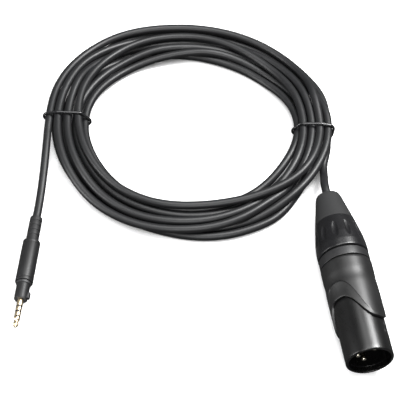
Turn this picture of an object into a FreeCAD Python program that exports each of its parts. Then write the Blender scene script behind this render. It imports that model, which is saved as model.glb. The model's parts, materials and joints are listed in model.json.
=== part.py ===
import FreeCAD, Part
import math
import os

# XLR to 2.5 mm plug cable, coiled flat and held by two wire ties. Millimetres, +Z up, floor at z = 0.
# The coil's centre is COIL_CENTRE; both connectors lie on the floor on the -Y side of the coil.

V = FreeCAD.Vector
COIL_CENTRE = V(-1.6, 32.4, 0)

# --- cable ---
CABLE_D = 3.5            # outside diameter of the jacket
JACKET_BORE_D = 2.5      # inside of the jacket
SHIELD_BORE_D = 2.1      # inside of the braided shield
CONDUCTOR_D = 0.62       # one insulated conductor
CONDUCTOR_PITCH_R = 0.5  # centre of each conductor from the cable's axis
CONDUCTOR_TWIST = 60.0   # length of one turn of the twisted conductors
FIT = 0.03               # gap between pieces that only touch
RUN = 0.06               # radial clearance of pieces that move on each other
ROUND_POLES = 8          # control points round a cable's section
FACE_SPANS = 18          # curve spans in one face of a cable's skin

# --- coil lay ---
STEP = 5                 # degrees between stations round the coil
STRAND_GAP = 0.15        # least gap between neighbouring strands
# Heights of a strand on the floor, on the slope, on top, climbing over the others and crossing them.
LOW, MID, TOP, CLIMB, OVER = 1.8, 3.4, 5.0, 6.5, 8.2
LAYER_Y = {LOW: 2.08, MID: 0.88, TOP: -0.4, CLIMB: -1.6, OVER: -2.96}   # each layer's centre, towards +Y
TIE_LIFT = 2.55          # how far the ties' twisted ends lift the strands off the floor
TIE_LIFT_FLAT = 14       # degrees either side of a tie with the full lift
TIE_LIFT_SPAN = 52       # degrees either side of a tie where the lift has died away
LEFT_TIE_AT = 2          # degrees of travel from the coil's left side, clockwise seen from above
RIGHT_TIE_AT = 185.5
LAST_STATION = 205       # degrees of travel in the last turn where the cable leaves the coil

# Each turn: (degrees of travel, radius from its layer's centre, height).
LAY = [
    [(0, 64.2, MID), (20, 65.3, MID), (40, 66.1, MID), (50, 65.3, MID), (60, 63.4, TOP), (70, 61.2, TOP),
     (80, 59.4, TOP), (90, 58.3, TOP), (110, 57.0, TOP), (130, 56.4, TOP), (150, 55.8, TOP),
     (180, 55.3, TOP), (200, 56.3, TOP), (210, 55.4, CLIMB), (220, 52.8, OVER), (230, 49.4, OVER),
     (240, 46.9, OVER), (250, 45.8, TOP), (270, 45.1, TOP), (290, 47.0, TOP), (310, 48.6, TOP),
     (330, 49.8, TOP)],
    [(0, 51.8, TOP), (20, 54.5, TOP), (45, 56.4, TOP), (60, 56.0, TOP), (75, 54.8, TOP), (90, 53.2, TOP),
     (110, 49.8, TOP), (135, 47.2, TOP), (180, 47.4, TOP), (210, 49.4, TOP), (225, 49.8, TOP),
     (245, 51.0, TOP), (270, 53.4, TOP), (300, 56.4, TOP), (330, 56.4, TOP)],
    [(0, 56.7, TOP), (20, 57.3, TOP), (30, 57.6, MID), (45, 57.9, LOW), (60, 54.4, LOW), (75, 50.6, LOW),
     (90, 49.2, LOW), (112, 49.8, MID), (125, 50.6, TOP), (140, 51.0, TOP), (180, 51.3, TOP),
     (200, 52.6, TOP), (225, 53.8, TOP), (235, 54.8, TOP), (270, 57.6, TOP), (285, 59.4, TOP),
     (300, 60.8, TOP), (320, 61.3, TOP), (340, 61.0, TOP)],
    [(0, 61.1, TOP), (20, 61.8, TOP), (45, 62.2, TOP), (60, 57.2, LOW), (75, 54.2, LOW), (90, 52.9, LOW),
     (110, 52.0, LOW), (135, 53.0, LOW), (158, 55.0, MID), (180, 58.2, TOP), (200, 58.2, TOP),
     (225, 58.0, TOP), (240, 57.6, MID), (270, 58.0, LOW), (290, 56.1, LOW), (315, 57.2, LOW)],
    [(0, 59.2, LOW), (18, 58.6, LOW), (30, 57.0, LOW), (45, 53.0, LOW), (60, 47.6, LOW), (75, 43.4, LOW),
     (90, 40.9, LOW), (110, 39.3, LOW), (128, 39.0, LOW), (145, 40.2, LOW), (165, 43.8, LOW),
     (180, 46.0, LOW), (205, 45.3, MID), (225, 45.7, LOW), (240, 46.4, LOW), (270, 48.0, LOW),
     (315, 48.6, LOW)],
    [(0, 49.6, LOW), (15, 49.2, LOW), (30, 46.9, LOW), (50, 45.0, LOW), (68, 43.6, TOP), (90, 43.0, TOP),
     (110, 43.0, MID), (135, 43.0, LOW), (158, 47.0, LOW), (180, 49.6, LOW), (225, 50.0, LOW),
     (270, 50.6, LOW), (315, 51.6, MID), (335, 52.6, LOW)],
    [(0, 54.0, LOW), (20, 52.2, LOW), (45, 49.8, TOP), (58, 48.7, TOP), (70, 48.0, TOP), (90, 46.9, TOP),
     (110, 46.2, LOW), (135, 46.8, LOW), (180, 53.2, LOW), (200, 55.0, LOW), (210, 56.8, LOW),
     (225, 59.4, LOW), (245, 62.0, LOW), (258, 62.7, LOW), (270, 61.8, LOW), (282, 60.0, LOW),
     (295, 59.6, LOW), (315, 60.6, LOW)],
    [(0, 62.6, LOW), (30, 62.8, LOW), (45, 61.9, LOW), (60, 60.8, LOW), (75, 57.9, LOW), (90, 56.6, LOW),
     (110, 56.0, LOW), (135, 56.6, LOW), (160, 57.0, LOW), (180, 57.4, LOW), (190, 58.0, LOW),
     (197, 59.3, LOW), (205, 62.1, LOW)],
]

# --- tails: hinge points are measured from the coil's centre ---
PLUG_HINGE = V(-65.3, -6.0, 6.6)
XLR_HINGE = V(55.4, -27.2, 4.15)
XLR_TAIL_SLOPE = 0.2     # rise of the cable per length where it leaves the coil for the XLR
BALL_INSET = 0.01        # how much smaller a tail's round end is than the tail
BALL_OVERLAP = 0.3       # where the tail's straight-sided length starts, from the round end's centre
CORE_INSET = 2.0         # how far inside the coil's ends its shield and conductors stop
LEAD_OUT = 2             # stations at the end of the last turn that the run to the XLR's hinge replaces
SOCKET_WALL = 0.2        # edge thickness of the hollow in the fixed cable end

# --- XLR connector: lengths along its axis from the boot's cable end ---
XLR_BOOT_END = V(55.6, -45.6, 10.6)
XLR_TURN = 8.4           # degrees from -Y towards +X
XLR_LEN = 79.7
BOOT_END_R, BOOT_R = 5.2, 8.45
NUT_START, NUT_END = 14.9, 31.6
NUT_MID, NUT_FULL = 24.0, 28.0       # where the nut's taper eases, and where it ends
NUT_MID_R, NUT_R = 10.1, 10.5
NECK_START, NECK_R, NECK_BORE_R = 9.0, 5.6, 4.2    # the nut's neck, inside the boot
NUT_BORE_R, NUT_BORE_START = 6.9, 19.0
SCREW_END = 41.0         # end of the nut's threaded tube, inside the shell
FLUTES = 12
FLUTE_AT, FLUTE_LEN = 22.6, 15.0           # middle and length of the pointed flutes' tool
FLUTE_TOOL_R, FLUTE_TOOL_OUT = 1.7, 10.9   # its widest radius, and how far out its middle lies
RING_START, RING_END = 31.85, 36.05
RING_R = 10.4
SHELL_START = 36.35
SHELL_R, NOSE_R = 10.5, 9.5
MOUTH_R, LEAD_IN = 8.3, 2.4
WAVE_AT, WAVE_H, WAVE_TURN = 59.55, 5.5, 5    # step between rear shell and nose: mean place, swing, degrees
SCOOP_AT, SCOOP_H, SCOOP_TURN = 56.1, 8.8, 1  # where the scooped slope above the step starts
LIP_R = 9.85             # radius at the foot of the scoop
NOSE_SEAT, NOSE_RELIEF = 66.0, 0.25           # start of the nose's fitting length, and its relief behind that
THREAD_R, THREAD_PITCH, THREAD_DEPTH = 7.9, 1.0, 0.4
NUT_TURNS = 3
KEY_AT = 115             # degrees from the top towards +X
PIN_ANGLES = [199, 263, 327, 31]
PIN_CIRCLE_R, PIN_R = 4.07, 1.18
PIN_TIP = 77.0
INSERT_START, INSERT_END = 47.0, 65.0
INSERT_R = 8.2
SPRING_START, SPRING_END, SPRING_T = 52.0, 56.0, 0.3   # ground spring in the insert's groove
KEY_LEN, KEY_W = 9.0, 2.4
LATCH_BACK, LATCH_LEN, LATCH_DEPTH = 6.4, 4.0, 0.45    # latch slot: distance from the tip, size and depth
CUP_DEPTH = 3.2          # solder cup in a contact's cable end
SEAT_DEPTH = 3.0         # how deep a contact's thick seat goes into the insert
CUP_START, CUP_R = 43.0, 1.45
CHUCK_START, CHUCK_END = 16.5, 36.0
CHUCK_R, CHUCK_TUBE_R = 6.7, 5.0
XLR_JACKET_END = 37.0

# --- 2.5 mm plug: lengths along its axis from the sleeve's cable end ---
PLUG_SLEEVE_END = V(-67.1, -51.7, 3.7)
PLUG_TURN = -4.7
RELIEF_LEN, RELIEF_R = 12.3, 2.65
BARREL_START, BARREL_END, BARREL_R = 12.3, 32.5, 3.65
COLLAR_END, COLLAR_R = 40.8, 2.75
PIN_END, PLUG_R = 53.8, 1.25
SHAFT_END = 50.0         # end of the shaft's full width, where the tip's waist starts
SHANK_END, SHANK_R = 41.2, 1.05      # thinner part of the sleeve contact, inside the collar
CORE_START, CORE_END = 25.0, 31.3    # insulating core
COLLAR_START, SCREW_R, SCREW_BORE_R = 26.0, 2.5, 2.0
FLANGE_H = 0.35          # flange between barrel and collar
LUG_AT = -80             # degrees from the top towards +X
GRIP_BORE_R = 2.95       # hollow of the barrel round the sleeve's flange
SLEEVE_FLANGE_R, SLEEVE_FLANGE_START, SLEEVE_FLANGE_END = 2.88, 13.46, 14.9
SLEEVE_RINGS, SLEEVE_RING_W = 4, 0.6
RING_MARKS = [44.0, 46.45, 48.85]    # centres of the insulating rings
RING_MARK_W = 0.7
PLUG_JACKET_END, PLUG_WIRE_END = 20.5, 22.3
PLUG_TURNS = 4
PLUG_PITCH = 0.6

# --- wire ties ---
TIE_D, TIE_WIRE_D = 1.2, 0.5
TIE_GAP = 0.07
TWIST_AT = 54            # distance of the twisted ends from the coil's centre
TWIST_R = 0.4            # radius of the twist, as a share of the wire's width
PIGTAIL_LEN, PIGTAIL_PITCH = 10.0, 4.5


def save(name, shape):
    """Writes one node's STEP file."""
    shape.exportStep("parts/" + name + ".step")


def smooth_value(points, x):
    """Smooth value through (x, value) points, with slopes from each point's neighbours."""
    i = 0
    while i < len(points) - 2 and x > points[i + 1][0]:
        i += 1

    def slope(k):
        a, b = max(k - 1, 0), min(k + 1, len(points) - 1)
        return (points[b][1] - points[a][1]) / (points[b][0] - points[a][0])

    x0, y0 = points[i]
    x1, y1 = points[i + 1]
    h = x1 - x0
    t = (x - x0) / h
    return ((2 * t**3 - 3 * t**2 + 1) * y0 + (t**3 - 2 * t**2 + t) * h * slope(i)
            + (3 * t**2 - 2 * t**3) * y1 + (t**3 - t**2) * h * slope(i + 1))


def lift(angle):
    """How far the floor of the strands is raised near the ties."""
    best = 0.0
    for tie in (LEFT_TIE_AT, RIGHT_TIE_AT):
        away = abs((angle - tie + 180) % 360 - 180)
        fade = min(max((away - TIE_LIFT_FLAT) / (TIE_LIFT_SPAN - TIE_LIFT_FLAT), 0), 1)
        best = max(best, TIE_LIFT * math.cos(math.pi / 2 * fade) ** 2)
    return best


def radius_of(angle, r, height):
    """Radius about the coil's centre of a point listed about its layer's centre, to 0.1 mm."""
    return round(r + LAYER_Y[height] * math.sin(math.radians(180 - angle)), 1)


def lay_targets():
    """Stations of the whole coil: travel angles, target radii and target heights above the lifted floor."""
    radii = [(360 * turn + a, radius_of(a, r, z)) for turn, row in enumerate(LAY) for a, r, z in row]
    heights = [(360 * turn + a, z) for turn, row in enumerate(LAY) for a, r, z in row]
    angles = list(range(0, 360 * (len(LAY) - 1) + LAST_STATION + 1, STEP))
    return angles, [smooth_value(radii, a) for a in angles], [smooth_value(heights, a) for a in angles]


def smoothed(values, amount):
    """One smoothing pass that leaves the two ends where they are."""
    out = values[:]
    for i in range(1, len(values) - 1):
        out[i] = values[i] + amount * (0.5 * (values[i - 1] + values[i + 1]) - values[i])
    return out


def push_apart(r, z):
    """Moves strands that share a section apart until none overlaps its neighbour, and off the floor."""
    per_turn = 360 // STEP
    want = CABLE_D + STRAND_GAP
    for first in range(per_turn):
        ids = list(range(first, len(r), per_turn))
        for a in range(len(ids)):
            for b in range(a + 1, len(ids)):
                i, j = ids[a], ids[b]
                lean = (slope_at(r, i) + slope_at(r, j)) / 2
                squash = 1 / math.sqrt(1 + lean * lean)
                dr, dz = (r[j] - r[i]) * squash, z[j] - z[i]
                d = math.hypot(dr, dz)
                if d < want:
                    push = 0.5 * (want - d) / max(d, 0.001)
                    r[i] -= push * dr
                    r[j] += push * dr
                    z[i] -= push * dz
                    z[j] += push * dz
    for i in range(len(z)):
        z[i] = max(z[i], LOW)


def slope_at(r, i):
    """How fast a strand's radius changes along its length."""
    a, b = max(i - 1, 0), min(i + 1, len(r) - 1)
    return (r[b] - r[a]) / (r[i] * math.radians(STEP) * (b - a))


def settled_coil():
    """Lets the strands settle: drawn to their lay, stiffened, and pushed apart where they'd overlap."""
    angles, want_r, want_z = lay_targets()
    r, z = want_r[:], want_z[:]
    for pull, stiffness, rounds in ((0.12, 0.2, 200), (0.03, 0.12, 60), (0.0, 0.04, 60), (0.0, 0.01, 30)):
        for k in range(rounds):
            for i in range(len(r)):
                weight = 2.0 if want_z[i] > 4.0 else 1.0
                r[i] += weight * pull * (want_r[i] - r[i])
                z[i] += 0.5 * pull * (want_z[i] - z[i]) - 0.1 * pull
            r, z = smoothed(r, stiffness), smoothed(z, stiffness)
            for sweep in range(3):
                push_apart(r, z)
    return angles, r, [h + lift(a) for a, h in zip(angles, z)]


def at_station(angle, r, z):
    """Point at a travel angle: 0 is the coil's left side, and travel is clockwise seen from above."""
    t = math.radians(180 - angle)
    return V(r * math.cos(t), r * math.sin(t), z)


def bezier_run(p0, d0, p1, d1, count):
    """Points on a smooth run from p0 heading d0 to p1 heading d1, without its two ends."""
    reach = (p1 - p0).Length / 3
    a, b = p0 + d0 * reach, p1 - d1 * reach
    out = []
    for k in range(1, count):
        t = k / count
        s = 1 - t
        out.append(p0 * s**3 + a * (3 * s * s * t) + b * (3 * s * t * t) + p1 * t**3)
    return out


def heading(turn):
    """Unit direction turned from -Y towards +X."""
    return V(math.sin(math.radians(turn)), -math.cos(math.radians(turn)), 0)


def rising(direction):
    """A level direction tipped up by the slope at which the cable climbs to the XLR."""
    return (direction + V(0, 0, XLR_TAIL_SLOPE)).normalize()


def through(points):
    """Smooth curve through points."""
    curve = Part.BSplineCurve()
    curve.interpolate(points)
    return curve


def frame_at(curve, u):
    """Point, heading, side and up directions of a curve that stays close to level."""
    p = curve.value(u)
    t = V(*curve.tangent(u)[0])
    side = t.cross(V(0, 0, 1)).normalize()
    return p, t, side, side.cross(t)


def skin(curve, radius):
    """Round surface of a rod along a curve, built from the curve's own poles."""
    poles, knots, mults = curve.getPoles(), curve.getKnots(), curve.getMultiplicities()
    flat = [k for k, m in zip(knots, mults) for repeat in range(m)]
    reach = radius * 3 / (2 + math.cos(2 * math.pi / ROUND_POLES))
    rows = []
    for i, pole in enumerate(poles):
        p, t, side, up = frame_at(curve, sum(flat[i + 1:i + 4]) / 3)
        ring = []
        for k in range(ROUND_POLES):
            a = 2 * math.pi * k / ROUND_POLES
            ring.append(pole + side * (reach * math.cos(a)) + up * (reach * math.sin(a)))
        rows.append(ring)
    surface = Part.BSplineSurface()
    surface.buildFromPolesMultsKnots(rows, mults, [1] * (ROUND_POLES + 1), knots, list(range(ROUND_POLES + 1)),
                                     False, True, 3, 3)
    return surface.toShape()


def stretches(curve):
    """The curve cut at its knots into stretches short enough for one face each."""
    knots = curve.getKnots()
    cuts = [knots[0]] + [knots[i] for i in range(FACE_SPANS, len(knots) - 3, FACE_SPANS)] + [knots[-1]]
    out = []
    for a, b in zip(cuts, cuts[1:]):
        piece = curve.copy()
        piece.segment(a, b)
        out.append(piece)
    return out


def ring_at(sides, curve, at_start):
    """Edge of a skin's faces at one end of the curve."""
    centre = curve.value(curve.FirstParameter if at_start else curve.LastParameter)
    edges = sides[0 if at_start else -1].Edges
    return [e for e in edges if e.isClosed() and (e.CenterOfMass - centre).Length < 0.05][0]


def sewn(faces):
    """Solid inside a closed set of faces."""
    shell = Part.makeShell(faces)
    shell.sewShape()
    solid = Part.Solid(shell)
    if solid.Volume < 0:
        solid.reverse()
    return solid


def swept_round(curve, radius):
    """Round rod along a curve."""
    sides = [skin(piece, radius) for piece in stretches(curve)]
    caps = [Part.Face(Part.Wire(ring_at(sides, curve, start))) for start in (True, False)]
    return sewn(sides + caps)


def swept_tube(curve, outer, inner, mouth=0, mouth_depth=0):
    """Tube along a curve; a mouth radius opens both ends of the bore like a cup."""
    bore = part_of(curve, mouth_depth, mouth_depth) if mouth else curve
    outside = [skin(piece, outer) for piece in stretches(curve)]
    inside = [skin(piece, inner) for piece in stretches(bore)]
    rims = [skin(piece, mouth) for piece in stretches(curve)] if mouth else inside
    faces = outside + inside
    for start in (True, False):
        hole = ring_at(rims, curve, start)
        rim = Part.Face(Part.Wire(ring_at(outside, curve, start))).cut(Part.Face(Part.Wire(hole)))
        faces += rim.Faces
        if mouth:
            faces.append(Part.makeRuledSurface(hole, ring_at(inside, bore, start)))
    return sewn(faces)


def revolved(profile):
    """Solid of revolution about Z from the (z, r) corners of its closed outline."""
    pts = [V(r, 0, z) for z, r in profile]
    face = Part.Face(Part.makePolygon(pts + [pts[0]]))
    return face.revolve(V(0, 0, 0), V(0, 0, 1), 360)


def cylinder(z0, z1, r, r_in=0):
    """Round bar or tube along Z."""
    bar = Part.makeCylinder(r, z1 - z0, V(0, 0, z0))
    if r_in:
        bar = bar.cut(Part.makeCylinder(r_in, z1 - z0, V(0, 0, z0)))
    return bar


def placed(shape, start, turn):
    """Moves a connector piece built along +Z, with its top along +X, to its place beside the coil."""
    d = heading(turn)
    up = V(0, 0, 1)
    y = d.cross(up)
    m = FreeCAD.Matrix(up.x, y.x, d.x, 0, up.y, y.y, d.y, 0, up.z, y.z, d.z, 0, 0, 0, 0, 1)
    out = shape.copy()
    out.Placement = FreeCAD.Placement(m).multiply(shape.Placement)
    out.translate(COIL_CENTRE + start)
    return out


def rim_point(angle_from_top, r, z):
    """Point on a connector piece at an angle from its top towards +X."""
    a = math.radians(-angle_from_top)
    return V(r * math.cos(a), r * math.sin(a), z)


def tapered_round(shape, edge_at, radius):
    """Rounds the circular edges whose centre lies at height edge_at on the axis."""
    edges = [e for e in shape.Edges if e.Closed and abs(e.BoundBox.ZMin - edge_at) < 0.01
             and abs(e.BoundBox.ZMax - edge_at) < 0.01]
    return shape.makeFillet(radius, edges)


# ---------------------------------------------------------------- cable

def coil_curve():
    """Centre line of the coil from the plug's hinge to the XLR's hinge."""
    angles, r, z = settled_coil()
    stations = [at_station(a, rr, zz) for a, rr, zz in zip(angles, r, z)]
    hollow = math.sqrt((CABLE_D / 2 + RUN) ** 2 - (CABLE_D / 2 - SOCKET_WALL) ** 2)
    first = PLUG_HINGE + V(0, hollow, 0)
    out_heading = rising(heading(1.0))
    last = XLR_HINGE - out_heading * hollow
    stay = stations[1:-LEAD_OUT:2]
    leave = (stations[1 - LEAD_OUT] - stations[-1 - LEAD_OUT]).normalize()
    lead_out = bezier_run(stay[-1], leave, last, out_heading, 3)
    points = [first] + stay + lead_out + [last]
    return through([COIL_CENTRE + p for p in points])


def tail_curve(hinge, start_heading, connector_end, turn, straight, inside):
    """Centre line of a tail: from its hinge to the connector, then straight on inside it."""
    d = heading(turn)
    arrive = connector_end - d * straight
    run = bezier_run(hinge, start_heading, arrive, d, 6)
    beyond = [connector_end + d * (inside * k / 4) for k in range(5)]
    points = [hinge] + run + [arrive, connector_end - d * (straight / 2)] + beyond
    return through([COIL_CENTRE + p for p in points])


def part_of(curve, start, end):
    """The stretch of a curve that starts and ends these lengths in from its two ends."""
    total = curve.length()
    out = curve.copy()
    u0 = curve.parameterAtDistance(start, curve.FirstParameter)
    u1 = curve.parameterAtDistance(total - end, curve.FirstParameter)
    out.segment(u0, u1)
    return out


def beside(curve, offset, phase, twist_pitch, spacing):
    """Curve that winds round another one at a fixed distance from it."""
    total = curve.length()
    count = max(int(total / spacing), 4)
    points = []
    for k in range(count + 1):
        along = total * k / count
        p, t, side, up = frame_at(curve, curve.parameterAtDistance(along, curve.FirstParameter))
        a = math.radians(phase) + 2 * math.pi * along / twist_pitch
        points.append(p + side * (offset * math.cos(a)) + up * (offset * math.sin(a)))
    return points


def tail_jacket(curve):
    """Jacket of a tail with a round end that turns in the hollow of the coil's cable end."""
    outer = swept_round(part_of(curve, BALL_OVERLAP, 0), CABLE_D / 2)
    ball = Part.makeSphere(CABLE_D / 2 - BALL_INSET, curve.value(curve.FirstParameter))
    bore = swept_round(part_of(curve, 2.2, 0), JACKET_BORE_D / 2)
    return outer.fuse(ball).cut(bore)


def coil_jacket(curve):
    """Jacket of the coil, cupped at both ends for the round ends of the tails."""
    reach = CABLE_D / 2 + RUN
    mouth = CABLE_D / 2 - SOCKET_WALL
    depth = math.sqrt(reach**2 - (JACKET_BORE_D / 2) ** 2) - math.sqrt(reach**2 - mouth**2)
    return swept_tube(curve, CABLE_D / 2, JACKET_BORE_D / 2, mouth, depth)


# ---------------------------------------------------------------- XLR connector

def wavy_line(mid, swing, turn, r):
    """Closed line round the axis that swings twice, with steep flanks and flat ends."""
    points = []
    for k in range(36):
        top = 10 * k
        phase = 2 * math.radians(top + turn)
        along = mid + swing * 1.1 * (math.sin(phase) + 0.1 * math.sin(3 * phase))
        points.append(rim_point(top, r, along))
    curve = Part.BSplineCurve()
    curve.interpolate(points, PeriodicFlag=True)
    return curve.toShape()


def beyond(inner_line, outer_line):
    """Everything further along the axis than a front between two wavy lines."""
    return Part.makeRuledSurface(inner_line, outer_line).extrude(V(0, 0, 40))


def xlr_shell():
    """Turned shell: rear body, scooped wavy step, and the nose that carries the mating connector."""
    rear_nose = cylinder(SHELL_START + 4, NOSE_SEAT + 1, NOSE_R - NOSE_RELIEF)
    nose = tapered_round(cylinder(NOSE_SEAT, XLR_LEN, NOSE_R), XLR_LEN, 0.35)
    bevel = 0.35
    rear = revolved([(SHELL_START, 0), (SHELL_START, SHELL_R - bevel), (SHELL_START + bevel, SHELL_R),
                     (WAVE_AT + 9, SHELL_R), (WAVE_AT + 9, 0)])
    rear = rear.cut(beyond(wavy_line(WAVE_AT, WAVE_H, WAVE_TURN, NOSE_R - 1.0),
                           wavy_line(WAVE_AT, WAVE_H, WAVE_TURN, SHELL_R + 1.0)))
    rear = rear.cut(beyond(wavy_line(WAVE_AT, WAVE_H, WAVE_TURN, LIP_R),
                           wavy_line(SCOOP_AT, SCOOP_H, SCOOP_TURN, SHELL_R + 0.02)))
    shell = rear.fuse(rear_nose).fuse(nose).removeSplitter()
    shell = shell.cut(cylinder(SHELL_START - 1, XLR_LEN + 1, THREAD_R + RUN))
    shell = shell.cut(cylinder(INSERT_START - 1.5, XLR_LEN + 1, MOUTH_R))
    shell = shell.cut(cylinder(XLR_LEN - LEAD_IN, XLR_LEN + 1, MOUTH_R + 0.1))
    key = Part.makeBox(1.4, KEY_W, KEY_LEN, V(MOUTH_R - 0.8, -KEY_W / 2, XLR_LEN - KEY_LEN))
    latch = Part.makeBox(1.0, LATCH_LEN, LATCH_LEN)
    latch.translate(V(NOSE_R - LATCH_DEPTH, -LATCH_LEN / 2, XLR_LEN - LATCH_BACK))
    for tool in (key, latch):
        tool.rotate(V(0, 0, 0), V(0, 0, 1), -KEY_AT)
        shell = shell.cut(tool)
    return shell


def pin_places(z):
    """Centres of the four contacts at a height on the axis."""
    return [rim_point(a, PIN_CIRCLE_R, z) for a in PIN_ANGLES]


def xlr_insert():
    """Insulating block with a hole for each contact, a groove for the ground spring and a cable-side collar."""
    body = cylinder(INSERT_START, INSERT_END, INSERT_R)
    body = body.cut(cylinder(SPRING_START - 0.5, SPRING_END + 0.5, INSERT_R + 1, INSERT_R - SPRING_T - 0.05))
    body = body.cut(cylinder(INSERT_START - 1, INSERT_START + 2.5, 2.0))
    for p in pin_places(INSERT_START - 1):
        body = body.cut(Part.makeCylinder(PIN_R + 0.02, INSERT_END - INSERT_START + 2, p))
        body = body.cut(Part.makeCylinder(CUP_R + 0.05, 1 + SEAT_DEPTH, p))
    ridge = Part.makeBox(0.9, 2.0, 8, V(INSERT_R - 1.2, -1.0, INSERT_START))
    ridge.rotate(V(0, 0, 0), V(0, 0, 1), -KEY_AT + 180)
    return body.cut(ridge)


def xlr_contact(number):
    """One contact: round-nosed pin, thicker seat in the insert, and a solder cup cut open on its outer side."""
    seat = INSERT_START + SEAT_DEPTH - 0.1
    bar = revolved([(CUP_START, 0), (CUP_START, CUP_R), (seat, CUP_R), (seat, PIN_R), (PIN_TIP - 0.9, PIN_R),
                    (PIN_TIP - 0.3, 0.85 * PIN_R), (PIN_TIP, 0.45 * PIN_R), (PIN_TIP, 0)])
    bar = bar.cut(cylinder(CUP_START - 1, CUP_START + CUP_DEPTH, CUP_R - 0.4))
    bar = bar.cut(Part.makeBox(3, 1.5, CUP_DEPTH - 1, V(0, -0.75, CUP_START - 0.1)))
    bar.rotate(V(0, 0, 0), V(0, 0, 1), -PIN_ANGLES[number])
    bar.translate(pin_places(0)[number])
    return bar


def xlr_ground_spring():
    """Sprung ring between the insert and the shell, open on one side, with a tab along the groove."""
    ring = cylinder(SPRING_START, SPRING_END, INSERT_R + 0.03, INSERT_R - SPRING_T)
    gap = Part.makeBox(4, 5, 6, V(INSERT_R - 2, -2.5, SPRING_START - 0.5))
    gap.rotate(V(0, 0, 0), V(0, 0, 1), 60)
    return ring.cut(gap)


def xlr_coding_ring():
    """Plain ring held between the nut and the shell."""
    inner = THREAD_R + 0.12
    return revolved([(RING_START, inner), (RING_START, RING_R - 0.3), (RING_START + 0.3, RING_R),
                     (RING_END - 0.3, RING_R), (RING_END, RING_R - 0.3), (RING_END, inner)])


def thread_groove(z0, z1, r):
    """V-shaped groove along a helix, to cut a thread from a bar of radius r."""
    helix = Part.makeHelix(THREAD_PITCH, z1 - z0, r)
    helix.translate(V(0, 0, z0))
    h = 0.42 * THREAD_PITCH
    profile = Part.makePolygon([V(r - THREAD_DEPTH, 0, z0), V(r + 0.1, 0, z0 - h), V(r + 0.1, 0, z0 + h),
                                V(r - THREAD_DEPTH, 0, z0)])
    return Part.Wire(helix.Edges).makePipeShell([profile], True, True)


def xlr_nut():
    """Fluted nut with a neck that holds the boot and a threaded end that goes through the coding ring."""
    outline = [(NECK_START, NECK_BORE_R), (NECK_START, NECK_R), (NUT_START, NECK_R), (NUT_START, BOOT_R),
               (NUT_MID, NUT_MID_R), (NUT_FULL, NUT_R), (NUT_END - 0.4, NUT_R), (NUT_END, NUT_R - 0.35),
               (NUT_END, THREAD_R), (SCREW_END, THREAD_R), (SCREW_END, NUT_BORE_R),
               (NUT_BORE_START, NUT_BORE_R),
               (NUT_BORE_START - 2, NECK_BORE_R)]
    nut = revolved(outline)
    lean = math.degrees(math.atan2(NUT_R - BOOT_R, NUT_FULL - NUT_START))
    for k in range(FLUTES):
        flute = spindle(FLUTE_LEN, FLUTE_TOOL_R)
        flute.rotate(V(0, 0, 0), V(0, 1, 0), lean)
        flute.translate(V(FLUTE_TOOL_OUT, 0, FLUTE_AT))
        flute.rotate(V(0, 0, 0), V(0, 0, 1), 360 / FLUTES * (k + 0.5))
        nut = nut.cut(flute)
    return nut.cut(thread_groove(34.0, SCREW_END - 0.8, THREAD_R))


def spindle(length, radius):
    """Round tool along Z, widest in the middle and pointed at both ends."""
    half = length / 2
    arc = Part.Arc(V(0, 0, -half), V(radius, 0, 0), V(0, 0, half)).toShape()
    axis = Part.makeLine(V(0, 0, half), V(0, 0, -half))
    return Part.Face(Part.Wire([arc, axis])).revolve(V(0, 0, 0), V(0, 0, 1), 360)


def xlr_boot():
    """Rubber boot over the nut's neck, with a bore for the cable."""
    bore, end = CABLE_D / 2 + RUN, NUT_START - 0.05
    outline = [(0, bore), (0, BOOT_END_R), (end, BOOT_R), (end, NECK_R + FIT), (NECK_START - FIT, NECK_R + FIT),
               (NECK_START - FIT, bore)]
    return tapered_round(revolved(outline), 0, 0.9)


def xlr_chuck():
    """Slit collet that grips the cable inside the nut."""
    grip = CABLE_D / 2 + 0.02
    body = revolved([(CHUCK_START, grip), (CHUCK_START, 3.6), (19.4, 6.3), (30.0, CHUCK_R),
                     (CHUCK_END, CHUCK_R), (CHUCK_END, CHUCK_TUBE_R), (31.0, CHUCK_TUBE_R), (29.0, grip)])
    for k in range(4):
        slit = Part.makeBox(8, 0.7, 12, V(grip - 0.5, -0.35, CHUCK_START - 1))
        slit.rotate(V(0, 0, 0), V(0, 0, 1), 45 + 90 * k)
        body = body.cut(slit)
    return body


# ---------------------------------------------------------------- 2.5 mm plug

def nested_contact(front, back, seam, r_out, r_in):
    """A ring or sleeve contact: full width up front, a thin tube running back inside the next one."""
    return revolved([(back, r_in), (back, r_out), (seam, r_out), (seam, PLUG_R), (front, PLUG_R),
                     (front, r_in)])


def plug_pieces():
    """Contacts and insulators of the four-pole plug, nested round its axis."""
    a, b, c = RING_MARKS
    w = RING_MARK_W / 2
    g = 0.01
    pieces = {}
    pieces["plug_tip_contact"] = revolved([
        (22.5, 0), (22.5, 0.28), (c + w + g, 0.28), (c + w + g, PLUG_R), (SHAFT_END, PLUG_R), (50.7, 0.88),
        (51.2, 0.88), (52.1, 1.16), (52.7, 1.12), (PIN_END - 0.25, 0.5), (PIN_END, 0.2), (PIN_END, 0)])
    pieces["plug_insulator_3"] = nested_contact(c + w, 24.0, c - w, 0.40, 0.28 + g)
    pieces["plug_ring_contact_2"] = nested_contact(c - w - g, 24.6, b + w + g, 0.52, 0.40 + g)
    pieces["plug_insulator_2"] = nested_contact(b + w, 26.0, b - w, 0.64, 0.52 + g)
    pieces["plug_ring_contact_1"] = nested_contact(b - w - g, 26.6, a + w + g, 0.76, 0.64 + g)
    pieces["plug_insulator_1"] = nested_contact(a + w, 28.0, a - w, 0.88, 0.76 + g)
    pieces["plug_sleeve_contact"] = nested_contact(a - w - g, 28.6, SHANK_END, SHANK_R, 0.88 + g)
    return pieces


def plug_core():
    """Insulating core that holds the contacts inside the collar's rear end."""
    return cylinder(CORE_START, CORE_END, SCREW_BORE_R - 0.04, SHANK_R + 0.02)


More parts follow.
